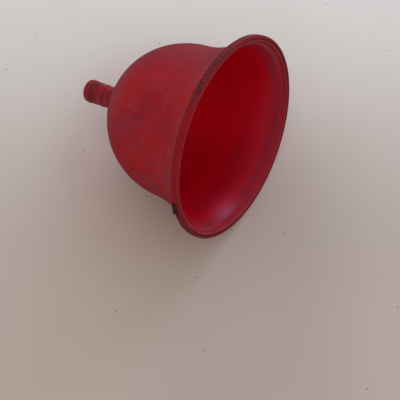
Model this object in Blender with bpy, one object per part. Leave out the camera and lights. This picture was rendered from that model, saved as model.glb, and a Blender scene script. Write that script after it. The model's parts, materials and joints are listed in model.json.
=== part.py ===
"""A small plastic funnel lying on its side, in metres with +Z up.

Three mouldings make it: a bell-shaped bowl, a rim ring that hooks round the bowl's lip, and a
ribbed spout whose flange sits inside the bowl on the edge of the outlet. The funnel rests on
the back edge of its rim ring and on the shoulder of its bowl, with the mouth turned to +X.

Each piece is a profile spun round the funnel's own axis. A profile lists (radius, depth)
points, and depth is counted from the mouth's front plane towards the spout's tip.
"""

import math

import bmesh
import bpy
from mathutils import Matrix, Vector

# Fits
FIT_GAP = 0.0003  # clearance between two pieces that touch

# Rim ring
MOUTH_DIAMETER = 0.100  # over the ring's outer wall
RING_WALL = 0.0014  # radial thickness of the outer wall
RING_PROUD = 0.0004  # how far the ring stands in front of the bowl's lip
HOOK_THICKNESS = 0.0010  # the flange behind the lip, along the axis
HOOK_REACH = 0.0011  # how far that flange reaches in under the lip
RING_ROUND = 0.0004  # radius of the ring's outer edges
JOINT_ANGLE = math.radians(257)  # where the ring's ends meet, counted from the floor side
JOINT_LENGTH = 0.0034  # the closing joint's lump along the rim
JOINT_PROUD = 0.0007  # how far the lump stands out of the ring
JOINT_BEVEL = 0.0003

# Bowl
BOWL_WALL = 0.0013
BOWL_DIAMETER = 0.0786  # outside, where the flare meets the dome
LIP_WIDTH = 0.0012  # the flat lip inside the ring
FLARE_DEPTH = 0.0300  # where the flare ends and the dome starts
DOME_LENGTH = 0.0414  # from there to the dome's pole, were it whole
SEAT_RADIUS = 0.0095  # the flat round the outlet that the spout's flange sits on

# Spout
SPOUT_DIAMETER = 0.0124  # over the ribs
SPOUT_BORE = 0.0092
SPOUT_LENGTH = 0.0267  # outside the bowl, from the outlet to the tip
ROOT_DIAMETER = 0.0130  # the plain neck that passes through the outlet
ROOT_LENGTH = 0.0030  # how far the neck shows outside the bowl
FLANGE_MARGIN = 0.0007  # how far inside the seat's edge the flange stops
FLANGE_THICKNESS = 0.0012
LEAD_IN = 0.0010  # chamfer from the flange's face into the bore
RIB_COUNT = 4
RIB_DEPTH = 0.0004  # from a crest down to a valley
TIP_LIP_DIAMETER = 0.0128
TIP_LIP_LENGTH = 0.0040
TIP_ROUND = 0.0012  # radius of the lip's end

# Facets. Each piece has the same number, so that facing walls stay parallel.
SEGMENTS = 48
FLARE_STEPS = 10
DOME_STEPS = 12
ROUND_STEPS = 4
RIB_STEPS = 6
SMOOTH_BELOW = math.radians(32)

# Colours
RED = (0.262, 0.022, 0.028)
RING_RED = (0.222, 0.021, 0.026)
SPOUT_RED = (0.190, 0.024, 0.027)

# Sizes that follow from those above
MOUTH_RADIUS = MOUTH_DIAMETER / 2
LIP_RADIUS = MOUTH_RADIUS - RING_WALL - FIT_GAP
LIP_BACK = RING_PROUD + BOWL_WALL
RING_HEIGHT = LIP_BACK + FIT_GAP + HOOK_THICKNESS
BOWL_RADIUS = BOWL_DIAMETER / 2
OUTLET_RADIUS = ROOT_DIAMETER / 2 + FIT_GAP
FLANGE_RADIUS = SEAT_RADIUS - FLANGE_MARGIN


def dome_depth(radius, wall):
    """Depth of the dome's surface at a radius; wall is 0 outside and BOWL_WALL inside."""
    share = radius / (BOWL_RADIUS - wall)
    return FLARE_DEPTH + (DOME_LENGTH - wall) * math.sqrt(1 - share * share)


OUTLET_DEPTH = dome_depth(SEAT_RADIUS, 0)
SEAT_DEPTH = dome_depth(SEAT_RADIUS, BOWL_WALL)
TIP_DEPTH = OUTLET_DEPTH + SPOUT_LENGTH


def corner(radius, depth, size, start_angle):
    """A quarter round of the given size about (radius, depth), turning 90 degrees."""
    points = []
    for step in range(ROUND_STEPS + 1):
        angle = start_angle + math.pi / 2 * step / ROUND_STEPS
        points.append((radius + size * math.cos(angle), depth + size * math.sin(angle)))
    return points


def ring_profile():
    """An L: the outer wall round the lip's edge, and the hook behind the lip."""
    wall_inside = MOUTH_RADIUS - RING_WALL
    edge = MOUTH_RADIUS - RING_ROUND
    profile = [(wall_inside, 0)]
    profile += corner(edge, RING_ROUND, RING_ROUND, -math.pi / 2)
    profile += corner(edge, RING_HEIGHT - RING_ROUND, RING_ROUND, 0)
    profile.append((wall_inside - HOOK_REACH, RING_HEIGHT))
    profile.append((wall_inside - HOOK_REACH, RING_HEIGHT - HOOK_THICKNESS))
    profile.append((wall_inside, RING_HEIGHT - HOOK_THICKNESS))
    return profile


def flare(wall):
    """A parabola from the lip's inner edge to the dome, along the bowl's outside or inside."""
    top = RING_HEIGHT if wall == 0 else RING_PROUD
    wide = MOUTH_RADIUS - RING_WALL - HOOK_REACH - FIT_GAP
    if wall > 0:
        wide = LIP_RADIUS - LIP_WIDTH
    narrow = BOWL_RADIUS - wall
    points = []
    for step in range(FLARE_STEPS + 1):
        share = step / FLARE_STEPS
        radius = narrow + (wide - narrow) * (1 - share) ** 2
        points.append((radius, top + (FLARE_DEPTH - top) * share))
    return points


def dome(wall):
    """The rest of the ellipse, from the flare's end to the flat round the outlet."""
    last = math.acos(SEAT_RADIUS / (BOWL_RADIUS - wall))
    points = []
    for step in range(1, DOME_STEPS + 1):
        angle = last * step / DOME_STEPS
        radius = (BOWL_RADIUS - wall) * math.cos(angle)
        points.append((radius, FLARE_DEPTH + (DOME_LENGTH - wall) * math.sin(angle)))
    return points


def bowl_profile():
    """Down the outside from the lip to the outlet, then back up the inside."""
    outside = [(LIP_RADIUS, RING_PROUD), (LIP_RADIUS, LIP_BACK)]
    outside.append((flare(0)[0][0], LIP_BACK))
    outside += flare(0) + dome(0)
    outside.append((OUTLET_RADIUS, OUTLET_DEPTH))
    inside = flare(BOWL_WALL) + dome(BOWL_WALL)
    inside.append((OUTLET_RADIUS, SEAT_DEPTH))
    return outside + inside[::-1]


def rib_points():
    """Soft rings between the neck and the tip's lip, as a cosine with a valley at each end."""
    start = OUTLET_DEPTH + ROOT_LENGTH
    length = TIP_DEPTH - TIP_LIP_LENGTH - start
    middle = SPOUT_DIAMETER / 2 - RIB_DEPTH / 2
    points = []
    for step in range(RIB_COUNT * RIB_STEPS + 1):
        wave = math.cos(2 * math.pi * step / RIB_STEPS)
        points.append((middle - RIB_DEPTH / 2 * wave, start + length * step / (RIB_COUNT * RIB_STEPS)))
    return points


def spout_profile():
    """Round the flange, down the ribbed outside to the tip's lip, and back up the bore."""
    flange_bottom = SEAT_DEPTH - FIT_GAP
    flange_top = flange_bottom - FLANGE_THICKNESS
    bore = SPOUT_BORE / 2
    neck = ROOT_DIAMETER / 2
    lip = TIP_LIP_DIAMETER / 2
    profile = [(bore + LEAD_IN, flange_top), (FLANGE_RADIUS, flange_top)]
    profile.append((FLANGE_RADIUS, flange_bottom))
    profile.append((neck, flange_bottom))
    profile.append((neck, OUTLET_DEPTH + ROOT_LENGTH * 2 / 3))
    profile += rib_points()
    profile.append((lip, TIP_DEPTH - TIP_LIP_LENGTH * 2 / 3))
    profile += corner(lip - TIP_ROUND, TIP_DEPTH - TIP_ROUND, TIP_ROUND, 0)
    profile.append((bore, TIP_DEPTH))
    profile.append((bore, flange_top + LEAD_IN))
    return profile


def plastic(name, colour, roughness):
    material = bpy.data.materials.new(name)
    material.use_nodes = True
    shader = material.node_tree.nodes["Principled BSDF"]
    shader.inputs["Base Color"].default_value = (*colour, 1)
    shader.inputs["Roughness"].default_value = roughness
    shader.inputs["Metallic"].default_value = 0
    return material


def add_object(name, bm, material, parent):
    mesh = bpy.data.meshes.new(name)
    bm.to_mesh(mesh)
    bm.free()
    mesh.shade_smooth()
    mesh.set_sharp_from_angle(angle=SMOOTH_BELOW)
    mesh.materials.append(material)
    piece = bpy.data.objects.new(name, mesh)
    bpy.context.collection.objects.link(piece)
    piece.parent = parent
    return piece


def spun(name, profile, material, parent):
    """Spin a closed profile round the funnel's axis, with the middle of a facet towards +X."""
    bm = bmesh.new()
    turn = Matrix.Rotation(math.pi / SEGMENTS, 3, "Z")
    corners = [bm.verts.new(turn @ Vector((radius, 0, -depth))) for radius, depth in profile]
    edges = [bm.edges.new((corners[i - 1], corners[i])) for i in range(len(corners))]
    bmesh.ops.spin(
        bm,
        geom=corners + edges,
        cent=(0, 0, 0),
        axis=(0, 0, 1),
        angle=2 * math.pi,
        steps=SEGMENTS,
        use_merge=True,
    )
    bmesh.ops.recalc_face_normals(bm, faces=bm.faces)
    return add_object(name, bm, material, parent)


def add_joint_lump(ring, material):
    """Weld a small rounded block onto the ring, where its two ends were closed."""
    depth = RING_HEIGHT - 2 * RING_ROUND
    thickness = JOINT_PROUD + RING_WALL / 2
    bm = bmesh.new()
    bmesh.ops.create_cube(bm, size=1, matrix=Matrix.Diagonal((thickness, JOINT_LENGTH, depth, 1)))
    bmesh.ops.bevel(bm, geom=bm.edges[:], offset=JOINT_BEVEL, segments=2, affect="EDGES")
    lump = add_object("joint_lump_cutter", bm, material, ring.parent)
    middle = MOUTH_RADIUS - RING_WALL / 2 + thickness / 2
    lump.location = (
        middle * math.cos(JOINT_ANGLE),
        middle * math.sin(JOINT_ANGLE),
        -RING_HEIGHT / 2,
    )
    lump.rotation_euler = (0, 0, JOINT_ANGLE)
    lump.hide_render = True
    lump.display_type = "WIRE"
    weld = ring.modifiers.new("joint_lump", "BOOLEAN")
    weld.operation = "UNION"
    weld.object = lump


def lying_angle():
    """The tilt at which the ring's back edge and the bowl's shoulder touch one floor."""
    facet = math.cos(math.pi / SEGMENTS)
    tilts = []
    for ring_radius, ring_depth in ring_profile():
        if ring_radius < MOUTH_RADIUS - RING_ROUND * 1.01:
            continue
        shoulder = dome(0)
        tilts.append(
            min(
                math.atan2((ring_radius - radius) * facet, depth - ring_depth)
                for radius, depth in shoulder
            )
        )
    return max(tilts)


def set_down(pose, pieces):
    """Move the funnel so that the middle of the base of its box is at the world's origin."""
    bpy.context.view_layer.update()
    depsgraph = bpy.context.evaluated_depsgraph_get()
    points = []
    for piece in pieces:
        shape = piece.evaluated_get(depsgraph)
        points += [shape.matrix_world @ vertex.co for vertex in shape.data.vertices]
    lowest = [min(point[axis] for point in points) for axis in range(3)]
    highest = [max(point[axis] for point in points) for axis in range(3)]
    pose.location = (
        -(lowest[0] + highest[0]) / 2,
        -(lowest[1] + highest[1]) / 2,
        -lowest[2],
    )


def build():
    for leftover in list(bpy.data.objects):
        bpy.data.objects.remove(leftover, do_unlink=True)
    pose = bpy.data.objects.new("lying_pose", None)
    bpy.context.collection.objects.link(pose)
    pose.rotation_euler = (0, math.pi / 2 - lying_angle(), 0)

    ring_plastic = plastic("rim_ring_plastic", RING_RED, 0.42)
    bowl = spun("bowl", bowl_profile(), plastic("bowl_plastic", RED, 0.48), pose)
    ring = spun("rim_ring", ring_profile(), ring_plastic, pose)
    spout = spun("spout", spout_profile(), plastic("spout_plastic", SPOUT_RED, 0.50), pose)
    add_joint_lump(ring, ring_plastic)
    set_down(pose, [bowl, ring, spout])


build()
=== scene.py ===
# %% [markdown]
# # A weathered plastic funnel
# The funnel lies on its side on a pale surface. It is made of three mouldings: a bell-shaped
# bowl, a ring round the bowl's mouth, and a ribbed spout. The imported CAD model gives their
# places and sizes. This script gives them their final surfaces, wear and dirt.

# %% Load the frame
import json
import math

import bmesh
import bpy
from mathutils import Matrix, Vector, noise


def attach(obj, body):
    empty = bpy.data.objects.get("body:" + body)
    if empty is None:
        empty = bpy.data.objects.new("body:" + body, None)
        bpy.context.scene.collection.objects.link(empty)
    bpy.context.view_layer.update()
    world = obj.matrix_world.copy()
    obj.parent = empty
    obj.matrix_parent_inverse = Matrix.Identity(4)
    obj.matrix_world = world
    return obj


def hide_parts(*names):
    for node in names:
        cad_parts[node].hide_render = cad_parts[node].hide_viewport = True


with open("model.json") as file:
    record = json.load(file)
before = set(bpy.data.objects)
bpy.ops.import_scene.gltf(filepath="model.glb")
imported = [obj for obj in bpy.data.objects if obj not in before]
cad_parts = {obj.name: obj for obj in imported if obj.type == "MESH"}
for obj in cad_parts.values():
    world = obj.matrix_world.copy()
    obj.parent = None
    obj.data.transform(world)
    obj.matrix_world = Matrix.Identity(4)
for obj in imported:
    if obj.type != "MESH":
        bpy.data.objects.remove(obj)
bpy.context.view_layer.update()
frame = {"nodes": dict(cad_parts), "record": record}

# %% [markdown]
# ## The funnel's own axis
# Every piece is round about one line, which leans because the funnel lies on its side. It is
# far easier to model a round piece upright and lay it down afterwards. So the next cell finds
# the line from the CAD: the mouth's face gives its direction, and the ring's front its place.
# "Depth" is counted from the mouth's front plane towards the spout's tip.

# %% Find the axis
MM = 0.001
mouth_face = next(m for m in frame["record"]["mounts"] if m["name"] == "mouth_face")
AXIS = Vector(mouth_face["axis"]).normalized()
ACROSS = Vector((0, 1, 0))
DOWN = ACROSS.cross(AXIS).normalized()


def reach(node, direction):
    """The least and greatest distance of a CAD node's points along a direction."""
    distances = [vertex.co.dot(direction) for vertex in frame["nodes"][node].data.vertices]
    return min(distances), max(distances)


def front_centre(node):
    """The middle of the ring of points that a round node holds at its front."""
    front = reach(node, AXIS)[1]
    points = [v.co for v in frame["nodes"][node].data.vertices if v.co.dot(AXIS) > front - 0.01 * MM]
    along = [point.dot(DOWN) for point in points]
    aside = [point.dot(ACROSS) for point in points]
    return (
        AXIS * front
        + DOWN * (min(along) + max(along)) / 2
        + ACROSS * (min(aside) + max(aside)) / 2
    )


MOUTH_CENTRE = front_centre("rim_ring")
TIP_DEPTH = reach("rim_ring", AXIS)[1] - reach("spout", AXIS)[0]
LAY_DOWN = Matrix.Translation(MOUTH_CENTRE) @ Matrix((DOWN, ACROSS, AXIS)).transposed().to_4x4()
print("mouth centre, mm:", [round(1000 * value, 2) for value in MOUTH_CENTRE])
print("depth of the tip, mm:", round(1000 * TIP_DEPTH, 2))

# %% [markdown]
# ## Camera
# The camera looks steeply down on the funnel from beyond its mouth. It comes first, so that
# each new piece can be judged from the angle that matters most. Its place is given as two
# angles and a distance. It aims a little to the left of the mouth and below it, which puts the
# funnel in the upper half of the frame.

# %% Camera
VIEW_AZIMUTH = math.radians(31.2)
VIEW_ELEVATION = math.radians(66.8)
VIEW_DISTANCE = 0.2871
AIM_RIGHT = -0.0186
AIM_UP = -0.0280
SENSOR_MM = 36
LENS_MM = 54
NEAREST_SEEN = 0.01

back = Vector(
    (
        math.sin(VIEW_AZIMUTH) * math.cos(VIEW_ELEVATION),
        -math.cos(VIEW_AZIMUTH) * math.cos(VIEW_ELEVATION),
        math.sin(VIEW_ELEVATION),
    )
)
right = Vector((math.cos(VIEW_AZIMUTH), math.sin(VIEW_AZIMUTH), 0))
up = back.cross(right)
camera_data = bpy.data.cameras.new("camera")
camera_data.sensor_width = SENSOR_MM
camera_data.lens = LENS_MM
camera_data.clip_start = NEAREST_SEEN
camera = bpy.data.objects.new("camera", camera_data)
bpy.context.scene.collection.objects.link(camera)
camera.matrix_world = Matrix.Translation(
    MOUTH_CENTRE + AIM_RIGHT * right + AIM_UP * up + VIEW_DISTANCE * back
) @ Matrix((right, up, back)).transposed().to_4x4()
bpy.context.scene.camera = camera
print("camera at, mm:", [round(1000 * value) for value in camera.matrix_world.translation])

# %% [markdown]
# ## Small helpers for node trees
# Both the shapes and the finishes below are node trees. `add` makes one node, sets its options
# and joins its inputs, so that a tree reads like a list of steps. `calc` is one arithmetic
# step, and the helpers after it name the steps that come up most often.


# %% Node helpers
def add(tree, kind, inputs=None, **options):
    """One node of a kind. inputs maps a socket's name or number to a value or another socket."""
    made = tree.nodes.new(kind)
    for option, value in options.items():
        setattr(made, option, value)
    for socket, value in (inputs or {}).items():
        if isinstance(value, bpy.types.NodeSocket):
            tree.links.new(value, made.inputs[socket])
        else:
            made.inputs[socket].default_value = value
    return made


def calc(tree, operation, *values):
    """The result of one arithmetic step."""
    inputs = dict(enumerate(values))
    return add(tree, "ShaderNodeMath", inputs, operation=operation).outputs[0]


def times(tree, *factors):
    """The product of its factors."""
    product = factors[0]
    for factor in factors[1:]:
        product = calc(tree, "MULTIPLY", product, factor)
    return product


def largest(tree, *values):
    """The largest of its values."""
    result = values[0]
    for value in values[1:]:
        result = calc(tree, "MAXIMUM", result, value)
    return result


def opposite(tree, value):
    """1 where value is 0, and 0 where it is 1."""
    return calc(tree, "SUBTRACT", 1.0, value)


def band(tree, value, low, high):
    """0 below low, 1 above high, and a smooth step between them."""
    inputs = {"Value": value, "From Min": low, "From Max": high}
    return add(
        tree, "ShaderNodeMapRange", inputs, interpolation_type="SMOOTHSTEP"
    ).outputs["Result"]


# %% [markdown]
# ## A lathe in Geometry Nodes
# A round moulding follows a rule: one outline, turned about an axis. The tree below is that
# rule. It lays a grid, wraps its columns round the axis, and gives each row the radius and
# depth of one point of the outline. Then it closes the seam. Two named inputs add what a
# perfect lathe lacks: `Wobble`, the slow unevenness of a cooled plastic wall, and `Nicks`,
# small bites out of the outer edge. The wobble is read on a cylinder, not on the surface, so
# the two skins of a thin wall move together and the wall keeps its thickness.


# %% The lathe
LATHE_INPUTS = {
    "Outline": "NodeSocketGeometry",
    "Columns": "NodeSocketInt",
    "Wobble": "NodeSocketFloat",
    "Nicks": "NodeSocketFloat",
    "Nick Radius": "NodeSocketFloat",
    "Seed": "NodeSocketFloat",
    "Finish": "NodeSocketMaterial",
}
NOISE_CYLINDER = 40 * MM
SLOW_SCALE = 30.0
FINE_SCALE = 330.0
NICK_FADE = 0.5 * MM
SEAM_WELD = 0.002 * MM


def lathe_inputs(tree):
    """The lathe's named inputs, and its one output."""
    for name, kind in LATHE_INPUTS.items():
        tree.interface.new_socket(name, in_out="INPUT", socket_type=kind)
    tree.interface.new_socket("Piece", in_out="OUTPUT", socket_type="NodeSocketGeometry")
    return tree.nodes.new("NodeGroupInput").outputs


def read_outline(tree, outline, row, value, kind):
    """A value of the outline's point that belongs to a row."""
    inputs = {"Geometry": outline, "Value": value, "Index": row}
    return add(tree, "GeometryNodeSampleIndex", inputs, data_type=kind).outputs["Value"]


def on_circle(tree, radius, cosine, sine, height):
    """The place at a radius, a direction and a height."""
    inputs = {0: times(tree, radius, cosine), 1: times(tree, radius, sine), 2: height}
    return add(tree, "ShaderNodeCombineXYZ", inputs).outputs[0]


def seeded_noise(tree, vector, seed, scale, detail):
    inputs = {"Vector": vector, "W": seed, "Scale": scale, "Detail": detail}
    return add(tree, "ShaderNodeTexNoise", inputs, noise_dimensions="4D").outputs[0]


def uneven_radius(tree, given, radius, cylinder):
    """The outline's radius with the wobble added and the nicks taken off."""
    slow = seeded_noise(tree, cylinder, given["Seed"], SLOW_SCALE, 2.0)
    fine = seeded_noise(tree, cylinder, given["Seed"], FINE_SCALE, 3.0)
    wobble = times(tree, calc(tree, "SUBTRACT", slow, 0.5), given["Wobble"])
    edge_start = calc(tree, "SUBTRACT", given["Nick Radius"], NICK_FADE)
    edge = band(tree, radius, edge_start, given["Nick Radius"])
    bite = times(tree, band(tree, fine, 0.58, 0.72), edge, given["Nicks"])
    return calc(tree, "SUBTRACT", calc(tree, "ADD", radius, wobble), bite)


def make_lathe():
    tree = bpy.data.node_groups.new("lathe", "GeometryNodeTree")
    given = lathe_inputs(tree)
    counted = add(tree, "GeometryNodeAttributeDomainSize", {0: given["Outline"]})
    rows = counted.outputs["Point Count"]
    columns = calc(tree, "ADD", given["Columns"], 1)
    size = {"Vertices X": columns, "Vertices Y": rows}
    grid = add(tree, "GeometryNodeMeshGrid", size).outputs["Mesh"]
    index = add(tree, "GeometryNodeInputIndex").outputs["Index"]
    column = calc(tree, "FLOOR", calc(tree, "DIVIDE", calc(tree, "ADD", index, 0.5), rows))
    row = calc(tree, "SUBTRACT", index, times(tree, column, rows))

    place = add(tree, "GeometryNodeInputPosition").outputs[0]
    place = read_outline(tree, given["Outline"], row, place, "FLOAT_VECTOR")
    attribute = add(tree, "GeometryNodeInputNamedAttribute", {"Name": "inner"}, data_type="FLOAT")
    inner = read_outline(tree, given["Outline"], row, attribute.outputs["Attribute"], "FLOAT")
    outline_radius, _, height = add(tree, "ShaderNodeSeparateXYZ", {0: place}).outputs

    angle = calc(tree, "DIVIDE", times(tree, column, 2 * math.pi), given["Columns"])
    cosine = calc(tree, "COSINE", angle)
    sine = calc(tree, "SINE", angle)
    cylinder = on_circle(tree, NOISE_CYLINDER, cosine, sine, height)
    radius = uneven_radius(tree, given, outline_radius, cylinder)
    wrapped = on_circle(tree, radius, cosine, sine, height)

    marked = add(
        tree,
        "GeometryNodeStoreNamedAttribute",
        {"Geometry": grid, "Name": "inner", "Value": inner},
        data_type="FLOAT",
        domain="POINT",
    )
    inputs = {"Geometry": marked.outputs[0], "Position": wrapped}
    turned = add(tree, "GeometryNodeSetPosition", inputs)
    inputs = {"Geometry": turned.outputs[0], "Distance": SEAM_WELD}
    closed = add(tree, "GeometryNodeMergeByDistance", inputs)
    smooth = add(tree, "GeometryNodeSetShadeSmooth", {"Geometry": closed.outputs[0]})
    real = add(tree, "GeometryNodeRealizeInstances", {"Geometry": smooth.outputs[0]})
    inputs = {"Geometry": real.outputs[0], "Material": given["Finish"]}
    finished = add(tree, "GeometryNodeSetMaterial", inputs)
    add(tree, "NodeGroupOutput", {0: finished.outputs[0]})
    return tree


lathe = make_lathe()
print("lathe tree:", len(lathe.nodes), "nodes")

# %% [markdown]
# ## Outlines with rounded corners
# No edge of a moulding is truly sharp: steel for the mould is cut with a small radius, and
# handling rounds it more. An outline is therefore given by its corners, each with the radius of
# its rounding, and `rounded` turns every corner into a short arc. Light then catches the edge.


# %% Rounding an outline's corners
def rounded(corners, steps=4):
    """corners are (radius, depth, rounding, inner). Returns (radius, depth, inner) points."""
    points = []
    for i, (radius, depth, size, inner) in enumerate(corners):
        here = Vector((radius, depth))
        before = Vector(corners[i - 1][:2]) - here
        after = Vector(corners[(i + 1) % len(corners)][:2]) - here
        bend = math.pi - before.angle(after) if size > 0 else 0
        if bend < math.radians(2):
            points.append((radius, depth, inner))
            continue
        cut = min(size * math.tan(bend / 2), 0.45 * before.length, 0.45 * after.length)
        start = here + before.normalized() * cut
        end = here + after.normalized() * cut
        for step in range(steps + 1):
            share = step / steps
            # a quadratic curve towards the corner is close to an arc on a short rounding
            point = start * (1 - share) ** 2 + here * 2 * share * (1 - share) + end * share**2
            points.append((point.x, point.y, inner))
    return points


# %% [markdown]
# ## Turning an outline into a piece
# `turn` hands an outline to the lathe, takes the result as a plain mesh, and lays it down. The
# piece's object stays at the origin, because its finish is measured from there. The lathe can
# wind the faces either way, so they are made to point outwards at the end.


# %% Turning a piece
def outline_object(name, points):
    """The outline as a row of vertices in the XZ plane, closed by repeating its first point."""
    mesh = bpy.data.meshes.new(name)
    row = points + points[:1]
    mesh.from_pydata([(radius, 0, -depth) for radius, depth, _ in row], [], [])
    inner = mesh.attributes.new("inner", "FLOAT", "POINT")
    for i, point in enumerate(row):
        inner.data[i].value = point[2]
    made = bpy.data.objects.new(name, mesh)
    bpy.context.scene.collection.objects.link(made)
    return made


def turn(name, points, finish, columns=240, wobble=0.0, nicks=0.0, nick_radius=1.0, seed=0.0):
    outline = outline_object(name + "_outline", points)
    modifier = outline.modifiers.new("lathe", "NODES")
    modifier.node_group = lathe
    values = {
        "Columns": columns,
        "Wobble": wobble,
        "Nicks": nicks,
        "Nick Radius": nick_radius,
        "Seed": seed,
        "Finish": finish,
    }
    for item in lathe.interface.items_tree:
        if item.name in values and item.in_out == "INPUT":
            modifier[item.identifier] = values[item.name]
    bpy.context.view_layer.update()
    shape = outline.evaluated_get(bpy.context.evaluated_depsgraph_get())
    mesh = bpy.data.meshes.new_from_object(shape)
    mesh.name = name
    mesh.materials.clear()
    mesh.materials.append(finish)
    bpy.data.objects.remove(outline, do_unlink=True)
    return lay_down(name, mesh)


def lay_down(name, mesh):
    """The mesh, moved from the upright frame to its place in the lying funnel, as a piece."""
    mesh.transform(LAY_DOWN)
    bm = bmesh.new()
    bm.from_mesh(mesh)
    bmesh.ops.recalc_face_normals(bm, faces=bm.faces)
    bm.to_mesh(mesh)
    bm.free()
    piece = bpy.data.objects.new(name, mesh)
    bpy.context.scene.collection.objects.link(piece)
    print(name, len(mesh.polygons), "faces,", "materials:", [m.name for m in mesh.materials])
    return piece


# %% [markdown]
# ## Reading places in the finishes
# The wear isn't the same everywhere: grime sits on one stretch of the rim, dust on the side that
# faces up, residue between the ribs. So the finishes need the funnel's own coordinates. A
# Mapping node turns the object's coordinates back upright, and a few steps give the distance
# from the axis, the depth and the angle round the axis, counted from the side that faces the
# ground. Lengths in the finishes are in millimetres, and shares run from 0 to 1.


# %% Coordinates for the finishes
def from_middle(tree, x, y):
    """The distance from the middle of the XY plane."""
    return calc(tree, "SQRT", calc(tree, "ADD", times(tree, x, x), times(tree, y, y)))


def places(tree):
    """Upright coordinates in millimetres, as (vector, distance from the axis, depth, angle)."""
    coordinates = add(tree, "ShaderNodeTexCoord").outputs["Object"]
    upright = LAY_DOWN.inverted()
    mapping = add(tree, "ShaderNodeMapping", {"Vector": coordinates}, vector_type="POINT")
    mapping.inputs["Location"].default_value = upright.translation * 1000
    mapping.inputs["Rotation"].default_value = upright.to_euler()
    mapping.inputs["Scale"].default_value = (1000, 1000, 1000)
    vector = mapping.outputs[0]
    x, y, z = add(tree, "ShaderNodeSeparateXYZ", {0: vector}).outputs
    across = from_middle(tree, x, y)
    full_turn = 2 * math.pi
    positive = calc(tree, "ADD", calc(tree, "ARCTAN2", y, x), full_turn)
    angle = calc(tree, "MODULO", positive, full_turn)
    return vector, across, times(tree, z, -1.0), angle


def cloud(tree, vector, size, detail=3.0, roughness=0.55, distortion=0.0):
    """Soft noise whose blotches are about size millimetres across."""
    inputs = {
        "Vector": vector,
        "Scale": 1 / size,
        "Detail": detail,
        "Roughness": roughness,
        "Distortion": distortion,
    }
    return add(tree, "ShaderNodeTexNoise", inputs).outputs[0]


def stretch(tree, value, start, end, soft=0.12):
    """1 between start and end, fading over twice soft at both."""
    rise = band(tree, value, start - soft, start + soft)
    return times(tree, rise, band(tree, value, end + soft, end - soft))


def between(tree, angle, start, end, soft=0.12):
    """1 round the axis from start to end, in degrees. soft is in radians."""
    return stretch(tree, angle, math.radians(start), math.radians(end), soft)


def specks(tree, vector, spacing, share, size, **options):
    """1 on small round dots, spacing apart. share is the part of the cells that hold one, and
    size is its radius as a part of the spacing."""
    inputs = {"Vector": vector, "Scale": 1 / spacing}
    dots = add(tree, "ShaderNodeTexVoronoi", inputs, **options)
    chosen = add(tree, "ShaderNodeSeparateColor", {0: dots.outputs["Color"]}).outputs[0]
    near = band(tree, dots.outputs["Distance"], size * 1.4, size * 0.7)
    return times(tree, near, calc(tree, "LESS_THAN", chosen, share))


def stretched(tree, vector, turn_angles, lengths):
    """The coordinates turned and stretched, so that noise on them makes streaks."""
    mapping = add(tree, "ShaderNodeMapping", {"Vector": vector}, vector_type="TEXTURE")
    mapping.inputs["Rotation"].default_value = turn_angles
    mapping.inputs["Scale"].default_value = lengths
    return mapping.outputs[0]


def scratches(tree, vector, turn_angles, length):
    """1 on thin broken lines that run one way."""
    along = stretched(tree, vector, turn_angles, (length, 0.5, 0.5))
    inputs = {"Vector": along, "Scale": 1.0, "Detail": 1.0}
    fibres = add(tree, "ShaderNodeTexNoise", inputs).outputs[0]
    thin = calc(tree, "ABSOLUTE", calc(tree, "SUBTRACT", fibres, 0.5))
    broken = band(tree, cloud(tree, vector, 14), 0.52, 0.62)
    return times(tree, band(tree, thin, 0.006, 0.002), broken)


def blend_colour(tree, share, under, over):
    """The over colour laid on the under colour by a share from 0 to 1."""
    made = add(tree, "ShaderNodeMix", data_type="RGBA", blend_type="MIX")
    for socket, value in ((0, share), (6, under), (7, over)):
        if isinstance(value, bpy.types.NodeSocket):
            tree.links.new(value, made.inputs[socket])
        else:
            made.inputs[socket].default_value = value if socket == 0 else (*value, 1)
    return made.outputs[2]


def raised(tree, height, depth_mm, below=None):
    """A bump of a real depth in millimetres, on top of another bump."""
    inputs = {"Height": height, "Distance": depth_mm * MM, "Strength": 1.0}
    if below is not None:
        inputs["Normal"] = below
    return add(tree, "ShaderNodeBump", inputs).outputs[0]


# %% [markdown]
# ## The plastic itself
# The three mouldings are the same kind of plastic, dull and a little see-through. One helper
# makes a material with its constant values set: little gloss, some light let in under the
# surface, and a purple tint on what the plastic reflects. Each finish then lays its own
# colours and roughness over that.

# %% Plastic
SHEEN_TINT = (1.0, 0.62, 0.95)
SCATTER_REACH = (1.0, 0.12, 0.08)
SCATTER_SCALE = 1.5 * MM


def plastic(name, gloss=0.22, scatter=0.15):
    """A new material with the shader's constant values set. Returns (material, tree, shader)."""
    material = bpy.data.materials.new(name)
    material.use_nodes = True
    tree = material.node_tree
    shader = tree.nodes["Principled BSDF"]
    shader.inputs["Specular IOR Level"].default_value = gloss
    shader.inputs["Specular Tint"].default_value = (*SHEEN_TINT, 1)
    shader.inputs["Subsurface Weight"].default_value = scatter
    shader.inputs["Subsurface Radius"].default_value = SCATTER_REACH
    shader.inputs["Subsurface Scale"].default_value = SCATTER_SCALE
    return material, tree, shader


# %% [markdown]
# ## Finish of the bowl: dye, painted light and haze
# The bowl is dyed red plastic that has stood outside. Its finish is laid on in layers. Each
# layer is a helper that takes the colour so far and returns the next one. The lathe left an
# attribute that says which skin a point is on, so one material serves both.
#
# The dye comes first. Outside it is bleached in blotches. Inside, a brighter stretch deep on
# the far wall is painted light, and a duller stretch on the low wall is painted shade. They
# aren't a change of dye: they stand in for the way a red bowl's walls light and shade each
# other. Then comes a thin chalky haze with rubbed streaks, strongest at the dome's pole. Where
# the outside is seen edge-on, its red is painted deeper, as painted shade at the outline.

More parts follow.
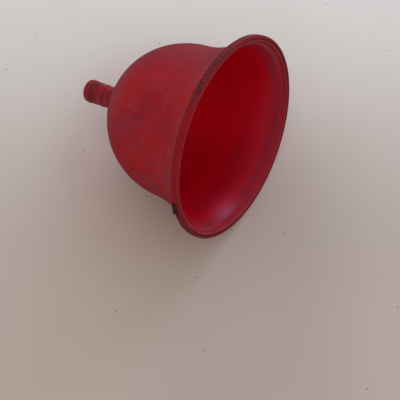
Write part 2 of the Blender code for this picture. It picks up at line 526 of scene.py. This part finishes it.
# %% Bowl: dye, painted light and haze
RED_OUTSIDE = (0.376, 0.0060, 0.0074)
RED_DEEP = (0.296, 0.0040, 0.0104)
RED_INSIDE = (0.470, 0.0006, 0.0090)
RED_INSIDE_PAINTED_GLOW = (0.610, 0.0004, 0.0100)
RED_INSIDE_PAINTED_SHADE = (0.345, 0.0006, 0.0090)
HAZE = (0.260, 0.058, 0.088)
# the dark red of painted shade, used where the bowl is seen edge-on, at the small ledge and on the
# ring's low front
PAINTED_SHADE_RED = (0.150, 0.0060, 0.0070)


def bowl_dye_and_painted_light(tree, vector, depth, angle, inner):
    bleached = band(tree, cloud(tree, vector, 28, 4), 0.35, 0.68)
    outside_colour = blend_colour(tree, bleached, RED_OUTSIDE, RED_DEEP)
    # Inside, painted light: a brighter stretch deep on the far wall.
    far_wall = between(tree, angle, 20, 130, 0.3)
    painted_glow = times(tree, band(tree, depth, 14.0, 28.0), far_wall)
    inside_colour = blend_colour(tree, painted_glow, RED_INSIDE, RED_INSIDE_PAINTED_GLOW)
    # Inside, painted shade: a duller stretch on the low wall.
    low_wall = opposite(tree, between(tree, angle, 32, 288, 0.4))
    shaded = times(tree, stretch(tree, depth, 9.0, 22.0, 5.0), low_wall)
    inside_colour = blend_colour(tree, shaded, inside_colour, RED_INSIDE_PAINTED_SHADE)
    return blend_colour(tree, inner, outside_colour, inside_colour)


def bowl_haze(tree, colour, vector, across, depth, outer):
    blotches = band(tree, cloud(tree, vector, 17, 5, 0.6, 0.6), 0.42, 0.70)
    along = stretched(tree, vector, (0.4, 0.2, 0.9), (9, 2, 2))
    streaks = band(tree, cloud(tree, along, 2.4), 0.50, 0.72)
    rubbed = calc(tree, "ADD", times(tree, blotches, 0.25), times(tree, streaks, 0.10))
    near_lip = times(tree, band(tree, depth, 9.0, 3.0), 0.08)
    pole = times(tree, band(tree, across, 37.0, 22.0), 0.44)
    haze = calc(tree, "ADD", calc(tree, "ADD", rubbed, near_lip), pole)
    return blend_colour(tree, times(tree, haze, outer), colour, HAZE)


def bowl_painted_edge_shade(tree, colour, outer):
    # painted shade: the outside is darkened where it is seen edge-on
    edge_on = add(tree, "ShaderNodeLayerWeight", {"Blend": 0.35}).outputs["Facing"]
    painted_edge_shade = times(tree, calc(tree, "POWER", edge_on, 4.0), 0.95)
    return blend_colour(tree, times(tree, painted_edge_shade, outer), colour, PAINTED_SHADE_RED)


print("bowl's dye and haze are ready")

# %% [markdown]
# ## Finish of the bowl: dirt, with painted light and shade at the mouth
# Outside, muddy patches grow towards the pole, the upper side has a fine mottle, and pale
# flecks are rubbed through round the pole. Dust lies on the wall, dirt fills the crease behind
# the ring, and there are a few dark specks. Inside, a greasy film lies near the mouth; its
# dark colour is also painted shade on the inside near the mouth. The lip gets its own marks:
# a paler crest that is a painted highlight, a dirty groove beside the ring, and a small
# ledge darkened with painted shade.

# %% Bowl: dirt, with painted light and shade at the mouth
MUDDY = (0.170, 0.0160, 0.0230)
DUST = (0.330, 0.170, 0.150)
# the film's colour is a greasy film, dark enough to also paint shade near the mouth
FILM_AND_SHADE = (0.135, 0.017, 0.0315)
CREASE_DIRT = (0.070, 0.014, 0.014)
DARK_SPECK = (0.045, 0.008, 0.009)


def bowl_mud(tree, colour, vector, across, angle, outer):
    muddy = band(tree, cloud(tree, vector, 5.5, 6, 0.74, 0.8), 0.44, 0.66)
    towards_pole = band(tree, across, 46.0, 24.0)
    muddy = times(tree, muddy, calc(tree, "MULTIPLY_ADD", towards_pole, 0.40, 0.17))
    upper_side = between(tree, angle, 125, 178, 0.35)
    muddy = calc(tree, "MULTIPLY_ADD", upper_side, 0.14, muddy)
    mottle = band(tree, cloud(tree, vector, 1.3, 4, 0.7), 0.42, 0.62)
    mottle = times(tree, mottle, calc(tree, "MULTIPLY_ADD", upper_side, 0.42, 0.14))
    muddy = calc(tree, "ADD", muddy, mottle)
    colour = blend_colour(tree, times(tree, muddy, outer), colour, MUDDY)
    fleck_share = times(tree, band(tree, across, 36.0, 20.0), times(tree, outer, 0.60))
    flecks = band(tree, cloud(tree, vector, 1.0, 3, 0.6), 0.52, 0.66)
    return blend_colour(tree, times(tree, flecks, fleck_share), colour, HAZE)


def bowl_film_and_shade(tree, colour, vector, depth, front):
    along = stretched(tree, vector, (0, 0, 0.6), (9, 3, 3))
    smeared = band(tree, cloud(tree, along, 1.6, 5, 0.7), 0.25, 0.75)
    smeared = calc(tree, "MULTIPLY_ADD", smeared, 0.50, 0.32)
    # greasy film, and painted shade on the inside near the mouth
    film_and_shade = times(tree, band(tree, depth, 10.5, 3.5), smeared)
    thinner_on_lip = calc(tree, "MULTIPLY_ADD", band(tree, depth, 1.8, 2.8), 0.75, 0.25)
    film_and_shade = times(tree, film_and_shade, thinner_on_lip)
    return blend_colour(tree, times(tree, film_and_shade, front), colour, FILM_AND_SHADE)


def bowl_lip(tree, colour, across, depth, front):
    lip_front = band(tree, depth, 1.2, 0.8)
    # painted highlight: the lip's crest is made paler
    crest = stretch(tree, across, 47.30, 47.90, 0.1)
    crest = times(tree, crest, times(tree, lip_front, 0.10))
    colour = blend_colour(tree, crest, colour, HAZE)
    groove = times(tree, band(tree, across, 47.90, 48.25), times(tree, lip_front, 0.80))
    colour = blend_colour(tree, groove, colour, CREASE_DIRT)
    # painted shade: the small ledge inside the crest is darkened
    ledge = times(tree, stretch(tree, across, 46.25, 46.95, 0.2), times(tree, front, 0.55))
    ledge = times(tree, ledge, band(tree, depth, 3.2, 2.4))
    return blend_colour(tree, ledge, colour, PAINTED_SHADE_RED)


def bowl_dust(tree, colour, vector, depth, outer):
    dust = times(tree, band(tree, cloud(tree, vector, 1.6, 4, 0.7), 0.54, 0.78), 0.12)
    dust = calc(tree, "ADD", dust, times(tree, band(tree, depth, 15.0, 4.0), 0.06))
    colour = blend_colour(tree, times(tree, dust, outer), colour, DUST)
    patchy = calc(tree, "MULTIPLY_ADD", cloud(tree, vector, 5, 4), 0.7, 0.25)
    crease = times(tree, stretch(tree, depth, 2.6, 3.8, 0.5), patchy)
    colour = blend_colour(tree, times(tree, crease, outer), colour, CREASE_DIRT)
    dots = specks(tree, vector, 4.0, 0.30, 0.085)
    return blend_colour(tree, times(tree, dots, 0.85), colour, DARK_SPECK)


print("bowl's dirt is ready")

# %% [markdown]
# ## Finish of the bowl: the layers together
# The layers are laid on in turn, with fine scratches last. The outside is rough enough to look
# matte, and the inside has kept some of its gloss. The bumps are small: pulled lines from the
# mould, a grain, slow dents, and the scratches cut in.

# %% Bowl finish
def bowl_scratches(tree, vector):
    one_way = scratches(tree, vector, (0.3, 0.9, 0.2), 30)
    return calc(tree, "MAXIMUM", one_way, scratches(tree, vector, (1.2, 0.1, 1.0), 22))


def bowl_finish():
    material, tree, shader = plastic("bowl_weathered_red")
    vector, across, depth, angle = places(tree)
    inner = add(tree, "ShaderNodeAttribute", attribute_name="inner").outputs["Fac"]
    outer = opposite(tree, inner)
    front = calc(tree, "MAXIMUM", inner, band(tree, depth, 2.4, 1.8))

    colour = bowl_dye_and_painted_light(tree, vector, depth, angle, inner)
    colour = bowl_haze(tree, colour, vector, across, depth, outer)
    colour = bowl_mud(tree, colour, vector, across, angle, outer)
    colour = bowl_painted_edge_shade(tree, colour, outer)
    colour = bowl_film_and_shade(tree, colour, vector, depth, front)
    colour = bowl_lip(tree, colour, across, depth, front)
    colour = bowl_dust(tree, colour, vector, depth, outer)
    lines = bowl_scratches(tree, vector)
    colour = blend_colour(tree, times(tree, lines, 0.35), colour, HAZE)
    tree.links.new(colour, shader.inputs["Base Color"])

    worn = calc(tree, "MULTIPLY_ADD", cloud(tree, vector, 9, 4), 0.22, 0.64)
    rough = calc(tree, "SUBTRACT", worn, times(tree, inner, 0.42))
    rough = calc(tree, "ADD", rough, times(tree, lines, 0.15))
    tree.links.new(rough, shader.inputs["Roughness"])

    pulled_lines = calc(tree, "SINE", times(tree, depth, 2.1))
    bump = raised(tree, pulled_lines, 0.004)
    bump = raised(tree, cloud(tree, vector, 0.45, 3), 0.035, bump)
    bump = raised(tree, cloud(tree, vector, 7, 2), 0.10, bump)
    bump = raised(tree, lines, -0.04, bump)
    tree.links.new(bump, shader.inputs["Normal"])
    return material


bowl_red = bowl_finish()
print("bowl finish:", len(bowl_red.node_tree.nodes), "nodes")

# %% [markdown]
# ## Finish of the rim ring
# The ring takes the knocks. Its plastic is darker, and its outer face is caked with dry
# grey-brown grime, thickest on the stretch that faces up and thinning out on both sides of it.
# On the half of the ring that faces the ground, the front is painted darker and the outer
# edge gets a thin dark line, both painted shade; the upper half is left as it is. Dirt also
# fills the seams on both sides of the ring, and specks are scattered all round.

# %% Rim finish
RED_RING = (0.275, 0.0045, 0.0110)
GRIME = (0.040, 0.014, 0.014)
DRY_GRIME = (0.095, 0.048, 0.044)
RING_OUTSIDE_MM = 50.0


def ring_cake(tree, vector, angle, outside):
    """Grime caked on the outer face, in ragged patches with flakes missing."""
    thick = between(tree, angle, 160, 199)
    thin = times(tree, between(tree, angle, 190, 300), 0.12)
    sparse = times(tree, between(tree, angle, 95, 165), 0.50)
    amount = largest(tree, thick, thin, sparse)
    ragged = band(tree, cloud(tree, vector, 2.6, 5, 0.7, 0.6), 0.34, 0.52)
    flaky = band(tree, cloud(tree, vector, 0.7, 3, 0.6), 0.24, 0.50)
    return times(tree, times(tree, ragged, flaky), times(tree, outside, amount))


def ring_seams_and_painted_shade(tree, across, depth, angle, outside, low_side):
    """Dirt beside the bowl's lip and towards the crease behind the ring, and painted shade along the
    outer edge on the side that faces the ground.
    """
    from_outside = calc(tree, "SUBTRACT", RING_OUTSIDE_MM, across)
    seam = times(tree, band(tree, from_outside, 1.1, 1.5), 0.35)
    more = between(tree, angle, 95, 163)
    back_share = times(tree, calc(tree, "MULTIPLY_ADD", more, 0.22, 0.60), outside)
    beside_crease = times(tree, band(tree, depth, 0.8, 2.6), back_share)
    # painted shade: a dark line on the outer edge of the side that faces the ground
    painted_shade_outer_edge = times(tree, band(tree, from_outside, 0.85, 0.35), 0.70, low_side)
    return largest(tree, seam, beside_crease, painted_shade_outer_edge)


def ring_finish():
    material, tree, shader = plastic("rim_grimy_red", gloss=0.10)
    vector, across, depth, angle = places(tree)
    aged = band(tree, cloud(tree, vector, 10, 4), 0.4, 0.7)
    colour = blend_colour(tree, aged, RED_RING, RED_DEEP)
    low_side = opposite(tree, between(tree, angle, 118, 252))
    # painted shade: the front of the side that faces the ground is darkened
    painted_shade_front = times(tree, band(tree, depth, 0.9, 0.3), low_side)
    colour = blend_colour(tree, times(tree, painted_shade_front, 0.60), colour, PAINTED_SHADE_RED)
    chalk = times(tree, band(tree, cloud(tree, vector, 4, 4, 0.6), 0.48, 0.75), 0.04)
    colour = blend_colour(tree, chalk, colour, HAZE)

    outside = band(tree, across, RING_OUTSIDE_MM - 0.9, RING_OUTSIDE_MM - 0.3)
    caked = ring_cake(tree, vector, angle, outside)
    seams_and_painted_shade = ring_seams_and_painted_shade(tree, across, depth, angle, outside, low_side)
    scattered = times(tree, specks(tree, vector, 2.6, 0.35, 0.11), 0.7)
    # this mask holds the dirt and also the painted shade of the low outer edge
    dirt = largest(tree, caked, seams_and_painted_shade, scattered)
    dried = band(tree, cloud(tree, vector, 0.9, 4, 0.7), 0.42, 0.62)
    grime = blend_colour(tree, dried, GRIME, DRY_GRIME)
    colour = blend_colour(tree, times(tree, dirt, 0.85), colour, grime)
    tree.links.new(colour, shader.inputs["Base Color"])

    worn = calc(tree, "MULTIPLY_ADD", cloud(tree, vector, 5, 4), 0.20, 0.34)
    tree.links.new(calc(tree, "MULTIPLY_ADD", dirt, 0.35, worn), shader.inputs["Roughness"])
    bump = raised(tree, cloud(tree, vector, 0.5, 3), 0.04)
    cake_height = times(tree, caked, cloud(tree, vector, 0.6, 4, 0.7))
    bump = raised(tree, cake_height, 0.25, bump)
    tree.links.new(bump, shader.inputs["Normal"])
    return material


ring_red = ring_finish()
print("rim finish:", len(ring_red.node_tree.nodes), "nodes")

# %% [markdown]
# ## Finish of the spout
# The spout is handled and dipped the most, so it is the brownest piece. Residue stays in the
# valleys between its ribs, worst behind the tip's lip, and the crests are rubbed clean.

# %% Spout finish
RED_SPOUT = (0.226, 0.0095, 0.0135)
RESIDUE = (0.075, 0.020, 0.008)
CREST_MM = 6.2
VALLEY_MM = 5.75
TIP_MM = 1000 * TIP_DEPTH


def spout_residue(tree, vector, across, depth):
    """Residue in the valleys, and most of it just behind the tip's lip."""
    low = band(tree, across, CREST_MM - 0.05, VALLEY_MM)
    patchy = band(tree, cloud(tree, vector, 2.4, 4, 0.65), 0.32, 0.58)
    behind_lip = stretch(tree, depth, TIP_MM - 7.4, TIP_MM - 3.8, 0.9)
    in_valleys = times(tree, times(tree, low, patchy), 0.35)
    return calc(tree, "MAXIMUM", in_valleys, times(tree, behind_lip, times(tree, patchy, 0.95)))


def spout_finish():
    material, tree, shader = plastic("spout_stained_red")
    vector, across, depth, _ = places(tree)
    aged = band(tree, cloud(tree, vector, 6, 4), 0.38, 0.68)
    colour = blend_colour(tree, aged, RED_SPOUT, RED_DEEP)
    crest = band(tree, across, VALLEY_MM + 0.25, CREST_MM)
    colour = blend_colour(tree, times(tree, crest, 0.12), colour, HAZE)
    residue = spout_residue(tree, vector, across, depth)
    out_of_bowl = band(tree, depth, TIP_MM - 30, TIP_MM - 24)
    colour = blend_colour(tree, times(tree, residue, out_of_bowl), colour, RESIDUE)
    dots = times(tree, specks(tree, vector, 2.2, 0.3, 0.10), 0.6)
    colour = blend_colour(tree, dots, colour, DARK_SPECK)
    tree.links.new(colour, shader.inputs["Base Color"])

    worn = calc(tree, "MULTIPLY_ADD", cloud(tree, vector, 3, 4), 0.20, 0.36)
    tree.links.new(calc(tree, "MULTIPLY_ADD", residue, 0.25, worn), shader.inputs["Roughness"])
    bump = raised(tree, cloud(tree, vector, 0.4, 3), 0.03)
    bump = raised(tree, cloud(tree, vector, 2.2, 3), 0.08, bump)
    tree.links.new(bump, shader.inputs["Normal"])
    return material


spout_red = spout_finish()
print("spout finish:", len(spout_red.node_tree.nodes), "nodes")

# %% [markdown]
# ## The bowl
# The bowl's outline goes down the outside from the lip to the outlet and comes back up the
# inside. A parabola makes the flare, and part of an ellipse makes the dome, as in the CAD. A
# low crest on the lip leaves a fine groove beside the ring. Inside the crest the wall drops
# steeply to a small ledge, where the flare begins. The ring is pressed onto the lip, so the
# seam is drawn tighter than the gap that the CAD keeps.

# %% Bowl
MOUTH_RADIUS = 50.0 * MM
RING_WALL = 1.4 * MM
FIT_GAP = 0.3 * MM
RING_PROUD = 0.4 * MM
BOWL_WALL = 1.3 * MM
RING_HEIGHT = 3.0 * MM
HOOK_REACH = 1.1 * MM
HOOK_THICKNESS = 1.0 * MM
BOWL_RADIUS = 39.3 * MM
LIP_WIDTH = 1.2 * MM
FLARE_DEPTH = 30.0 * MM
DOME_LENGTH = 41.4 * MM
SEAT_RADIUS = 9.5 * MM
OUTLET_RADIUS = 6.8 * MM
PRESS_FIT = 0.05 * MM
LIP_RADIUS = MOUTH_RADIUS - RING_WALL - PRESS_FIT
GROOVE_DEPTH = 0.5 * MM
GROOVE_WALL = 0.20 * MM
CREST_DEPTH = 0.1 * MM
CREST_WIDTH = 0.55 * MM
LEDGE_TOP = (-0.45 * MM, 1.7 * MM)
LEDGE_EDGE = (-1.15 * MM, 2.2 * MM)
FLARE_START = (-1.9 * MM, 2.8 * MM)
CORNER = 0.2 * MM
OUTLET_CORNER = 0.3 * MM


def flare(wide, narrow, top, inner, steps=28):
    """A parabola from a wide radius at depth top to the dome's start."""
    points = []
    for step in range(steps + 1):
        share = step / steps
        radius = narrow + (wide - narrow) * (1 - share) ** 2
        points.append((radius, top + (FLARE_DEPTH - top) * share, 0, inner))
    return points


def dome(wall, inner, steps=40):
    """The ellipse from the flare to the flat round the outlet."""
    last = math.acos(SEAT_RADIUS / (BOWL_RADIUS - wall))
    points = []
    for step in range(1, steps + 1):
        angle = last * step / steps
        radius = (BOWL_RADIUS - wall) * math.cos(angle)
        points.append((radius, FLARE_DEPTH + (DOME_LENGTH - wall) * math.sin(angle), 0, inner))
    return points


def lip_corners():
    """From the dirty groove over the crest and down to the ledge, where the flare begins."""
    lip_inside = LIP_RADIUS - LIP_WIDTH
    crest_outside = lip_inside + CREST_WIDTH
    return [
        (crest_outside + GROOVE_WALL, GROOVE_DEPTH, CORNER, 0),
        (crest_outside, CREST_DEPTH, CORNER, 0),
        (lip_inside, CREST_DEPTH, 0.3 * MM, 0),
        (lip_inside + LEDGE_TOP[0], LEDGE_TOP[1], 0.5 * MM, 0.5),
        (lip_inside + LEDGE_EDGE[0], LEDGE_EDGE[1], 0.4 * MM, 1),
    ]


def bowl_corners():
    lip_back = RING_PROUD + BOWL_WALL
    root = MOUTH_RADIUS - RING_WALL - HOOK_REACH - PRESS_FIT
    outside = [(LIP_RADIUS, GROOVE_DEPTH, CORNER, 0), (LIP_RADIUS, lip_back, CORNER, 0)]
    outside.append((root, lip_back, CORNER, 0))
    outside += flare(root, BOWL_RADIUS, RING_HEIGHT, 0) + dome(0, 0)
    outside.append((OUTLET_RADIUS, outside[-1][1], OUTLET_CORNER, 0))
    flare_radius = LIP_RADIUS - LIP_WIDTH + FLARE_START[0]
    inside = lip_corners()
    inside += flare(flare_radius, BOWL_RADIUS - BOWL_WALL, FLARE_START[1], 1)
    inside += dome(BOWL_WALL, 1)
    inside.append((OUTLET_RADIUS, inside[-1][1], OUTLET_CORNER, 1))
    return outside + inside[::-1]


bowl = turn("bowl_shell", rounded(bowl_corners()), bowl_red, wobble=0.4 * MM, seed=1.0)
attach(bowl, "root")
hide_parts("bowl")

# %% [markdown]
# ## The rim ring
# The ring is an L in section: a wall round the lip's edge and a hook behind it. Its corners are
# well rounded by use, and small nicks are bitten out of its outer face.

# %% Rim ring
def ring_corners():
    wall_inside = MOUTH_RADIUS - RING_WALL
    hook_inside = wall_inside - HOOK_REACH
    hook_top = RING_HEIGHT - HOOK_THICKNESS
    return [
        (wall_inside, 0, 0.35 * MM, 0),
        (MOUTH_RADIUS, 0, 0.6 * MM, 0),
        (MOUTH_RADIUS, RING_HEIGHT / 2, 0, 0),
        (MOUTH_RADIUS, RING_HEIGHT, 0.6 * MM, 0),
        (hook_inside, RING_HEIGHT, 0.3 * MM, 0),
        (hook_inside, hook_top, 0.2 * MM, 0),
        (wall_inside, hook_top, 0, 0),
    ]


ring = turn(
    "rim_ring_moulding",
    rounded(ring_corners(), 6),
    ring_red,
    columns=720,
    wobble=0.4 * MM,
    nicks=0.35 * MM,
    nick_radius=MOUTH_RADIUS - 0.1 * MM,
    seed=1.0,
)
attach(ring, "root")
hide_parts("rim_ring")

# %% [markdown]
# ## The spout
# The spout is pushed in from inside the bowl until its flange meets the seat. Its outline runs
# round the flange, down a plain neck and soft ribs to the thick lip of the tip, and back up the
# bore. The ribs are a cosine, so the rings have no edges.

# %% Spout
SPOUT_RADIUS = 6.2 * MM
SPOUT_BORE = 4.6 * MM
ROOT_RADIUS = 6.5 * MM
ROOT_LENGTH = 3.0 * MM
FLANGE_RADIUS = 8.8 * MM
FLANGE_THICKNESS = 1.2 * MM
LEAD_IN = 1.0 * MM
RIB_COUNT = 4
RIB_DEPTH = 0.24 * MM
TIP_LIP_RADIUS = 6.4 * MM
TIP_LIP_LENGTH = 4.0 * MM
RIB_STEPS = 14
NECK_SHARE = 0.6  # of the neck's length, before it runs into the first valley
TIP_LIP_SHARE = 0.62  # of the tip lip's length, before it runs into the last valley
OUTLET_DEPTH = dome(0, 0)[-1][1]
SEAT_DEPTH = dome(BOWL_WALL, 0)[-1][1]


def ribs():
    """A cosine with a valley at each end, from the neck to the tip's lip."""
    start = OUTLET_DEPTH + ROOT_LENGTH
    length = TIP_DEPTH - TIP_LIP_LENGTH - start
    points = []
    for step in range(RIB_COUNT * RIB_STEPS + 1):
        wave = math.cos(2 * math.pi * step / RIB_STEPS)
        radius = SPOUT_RADIUS - RIB_DEPTH / 2 - RIB_DEPTH / 2 * wave
        points.append((radius, start + length * step / (RIB_COUNT * RIB_STEPS), 0, 0))
    return points


def spout_corners():
    flange_bottom = SEAT_DEPTH - FIT_GAP
    flange_top = flange_bottom - FLANGE_THICKNESS
    corners = [
        (SPOUT_BORE + LEAD_IN, flange_top, 0.3 * MM, 1),
        (FLANGE_RADIUS, flange_top, 0.4 * MM, 1),
        (FLANGE_RADIUS, flange_bottom, 0.2 * MM, 1),
        (ROOT_RADIUS, flange_bottom, 0.2 * MM, 0),
        (ROOT_RADIUS, OUTLET_DEPTH + ROOT_LENGTH * NECK_SHARE, 0.8 * MM, 0),
    ]
    corners += ribs()
    corners += [
        (TIP_LIP_RADIUS, TIP_DEPTH - TIP_LIP_LENGTH * TIP_LIP_SHARE, 1.6 * MM, 0),
        (TIP_LIP_RADIUS, TIP_DEPTH, 1.6 * MM, 0),
        (SPOUT_BORE, TIP_DEPTH, 0.3 * MM, 0),
        (SPOUT_BORE, flange_top + LEAD_IN, 0.4 * MM, 1),
    ]
    return corners


spout = turn("spout_tube", rounded(spout_corners(), 6), spout_red, columns=160, seed=3.0)
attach(spout, "root")
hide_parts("spout")

# %% [markdown]
# ## The closing joint of the ring
# Where the ring's two ends were closed, a small lump of melted plastic stands out, and it has
# collected dark dirt. It is a ball, stretched along the rim, pinched in the middle and made
# uneven by moving its points with a fixed noise.

# %% Closing joint
JOINT_ANGLE = math.radians(257)
JOINT_SIZE = (1.0 * MM, 3.5 * MM, 1.1 * MM)
JOINT_DEPTH = 1.9 * MM
JOINT_PROUD = 0.25 * MM
PINCH = 0.30
TAPER = 0.2
BURNT = (0.044, 0.012, 0.010)


def joint_finish():
    material, tree, shader = plastic("joint_burnt_dirt", scatter=0.0)
    vector = places(tree)[0]
    dusty = band(tree, cloud(tree, vector, 1.3, 4, 0.7), 0.46, 0.68)
    colour = blend_colour(tree, dusty, BURNT, DRY_GRIME)
    tree.links.new(colour, shader.inputs["Base Color"])
    rough = calc(tree, "MULTIPLY_ADD", cloud(tree, vector, 0.8), 0.3, 0.5)
    tree.links.new(rough, shader.inputs["Roughness"])
    tree.links.new(raised(tree, cloud(tree, vector, 0.5, 4), 0.12), shader.inputs["Normal"])
    return material


def joint_mesh():
    bm = bmesh.new()
    bmesh.ops.create_icosphere(bm, subdivisions=5, radius=1)
    for vertex in bm.verts:
        uneven = 0.95 + 0.32 * noise.fractal(vertex.co * 1.7 + Vector((3, 0, 7)), 0.7, 2.1, 4)
        waist = 1 - PINCH * math.exp(-((vertex.co.y + 0.05) / 0.25) ** 2)
        girth = waist * (1 + TAPER * vertex.co.y)
        stretched_to = (JOINT_SIZE[0] * girth, JOINT_SIZE[1], JOINT_SIZE[2] * girth)
        vertex.co = Vector(a * b for a, b in zip(vertex.co * uneven, stretched_to))
    bm.transform(
        Matrix.Rotation(JOINT_ANGLE, 4, "Z")
        @ Matrix.Translation((MOUTH_RADIUS + JOINT_PROUD, 0, -JOINT_DEPTH))
    )
    for face in bm.faces:
        face.smooth = True
    mesh = bpy.data.meshes.new("rim_joint")
    bm.to_mesh(mesh)
    bm.free()
    mesh.materials.append(joint_finish())
    return mesh


joint = lay_down("rim_closing_joint", joint_mesh())
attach(joint, "root")

# %% [markdown]
# ## Floor
# The funnel lies on a pale surface, a large disc that is warmer and darker on the near side.
# Three of its tones stand in for light: that lighter, cooler far side for painted window
# light, the darker path on the near side for the painted soft shadow of something out of
# view, and the reddish tone round the funnel for light that its plastic throws down. The
# crumbs are dots on a flat pattern, because the dots of a solid pattern seldom lie in a flat
# floor.

# %% Floor
FLOOR_NEAR = (0.497, 0.430, 0.380)
FLOOR_FAR_PAINTED_LIGHT = (0.698, 0.684, 0.644)
FLOOR_STAIN = (0.360, 0.310, 0.280)
FLOOR_PATH = (0.390, 0.338, 0.292)
FLOOR_REDDISH = (0.520, 0.370, 0.338)
FLOOR_CRUMB = (0.150, 0.110, 0.095)
FLOOR_RADIUS = 6
FLOOR_SIDES = 256
FLOOR_ROUGHNESS = 0.85
PATH_ASIDE = 0.036
beyond = Vector((-right.y, right.x, 0))


def floor_distance(tree, x, y, direction):
    """How far a place on the floor lies in a direction, in metres."""
    return calc(tree, "MULTIPLY_ADD", x, direction.x, times(tree, y, direction.y))


def floor_colour(tree, vector):
    inputs = {"Vector": vector, "Scale": 14.0, "Detail": 6.0}
    mottled = add(tree, "ShaderNodeTexNoise", inputs).outputs[0]
    x, y, _ = add(tree, "ShaderNodeSeparateXYZ", {0: vector}).outputs
    away = floor_distance(tree, x, y, beyond)
    # painted light: the floor is painted lighter and cooler towards the far side, as if lit from the
    # window
    colour = blend_colour(tree, band(tree, away, -0.07, 0.138), FLOOR_NEAR, FLOOR_FAR_PAINTED_LIGHT)
    stained = times(tree, band(tree, mottled, 0.35, 0.75), 0.06)
    colour = blend_colour(tree, stained, colour, FLOOR_STAIN)
    aside = calc(tree, "SUBTRACT", floor_distance(tree, x, y, right), PATH_ASIDE)
    aside = calc(tree, "ABSOLUTE", aside)
    path = times(tree, band(tree, aside, 0.085, 0.020), band(tree, away, 0.05, -0.06))
    colour = blend_colour(tree, times(tree, path, 0.55), colour, FLOOR_PATH)
    near_funnel = band(tree, from_middle(tree, x, y), 0.090, 0.035)
    colour = blend_colour(tree, times(tree, near_funnel, 0.55), colour, FLOOR_REDDISH)
    crumbs = specks(tree, vector, 0.024, 0.22, 0.018, voronoi_dimensions="2D")
    return blend_colour(tree, times(tree, crumbs, 0.65), colour, FLOOR_CRUMB)


def floor_finish():
    material, tree, shader = plastic("floor_pale_plaster", scatter=0.0)
    vector = add(tree, "ShaderNodeTexCoord").outputs["Object"]
    tree.links.new(floor_colour(tree, vector), shader.inputs["Base Color"])
    shader.inputs["Roughness"].default_value = FLOOR_ROUGHNESS
    inputs = {"Vector": vector, "Scale": 900.0, "Detail": 3.0}
    grain = add(tree, "ShaderNodeTexNoise", inputs).outputs[0]
    tree.links.new(raised(tree, grain, 0.05), shader.inputs["Normal"])
    return material


floor_mesh = bpy.data.meshes.new("floor")
bm = bmesh.new()
bmesh.ops.create_circle(bm, cap_ends=True, radius=FLOOR_RADIUS, segments=FLOOR_SIDES)
bm.to_mesh(floor_mesh)
bm.free()
floor_mesh.materials.append(floor_finish())
floor = bpy.data.objects.new("floor", floor_mesh)
bpy.context.scene.collection.objects.link(floor)
print("floor:", len(floor_mesh.vertices), "points round its edge")

# %% [markdown]
# ## Light
# One large, cool lamp stands low beyond the top right of the view, like a window. It throws a
# soft shadow to the lower left and lays a sheen on the lower inside of the flare. A warm, even
# sky gives most of the light. It is hidden from glossy reflections, so that it doesn't lay a
# grey veil over the red.

# %% Light
WINDOW_PLACE = beyond * 1.05 + right * 0.60 + Vector((0, 0, 0.50))
WINDOW_SIZE = 0.75
WINDOW_POWER = 8.0
WINDOW_COLOUR = (0.62, 0.71, 1.0)
FUNNEL_MIDDLE = Vector((0, 0, 0.04))
SKY_COLOUR = (1.0, 0.975, 0.950)
SKY_STRENGTH = 0.84


def soft_lamp(name, place, size, power, colour):
    """A square lamp that faces the middle of the funnel."""
    lamp_data = bpy.data.lights.new(name, "AREA")
    lamp_data.size = size
    lamp_data.energy = power
    lamp_data.color = colour
    lamp = bpy.data.objects.new(name, lamp_data)
    bpy.context.scene.collection.objects.link(lamp)
    lamp.location = place
    lamp.rotation_mode = "QUATERNION"
    lamp.rotation_quaternion = (place - FUNNEL_MIDDLE).to_track_quat("Z", "Y")


soft_lamp("window", WINDOW_PLACE, WINDOW_SIZE, WINDOW_POWER, WINDOW_COLOUR)
sky = bpy.data.worlds.new("sky")
sky.use_nodes = True
sky.node_tree.nodes["Background"].inputs["Color"].default_value = (*SKY_COLOUR, 1)
sky.node_tree.nodes["Background"].inputs["Strength"].default_value = SKY_STRENGTH
sky.cycles_visibility.glossy = False
bpy.context.scene.world = sky
bpy.context.scene.view_settings.view_transform = "Standard"
print("lamp, sky and floor are in place")
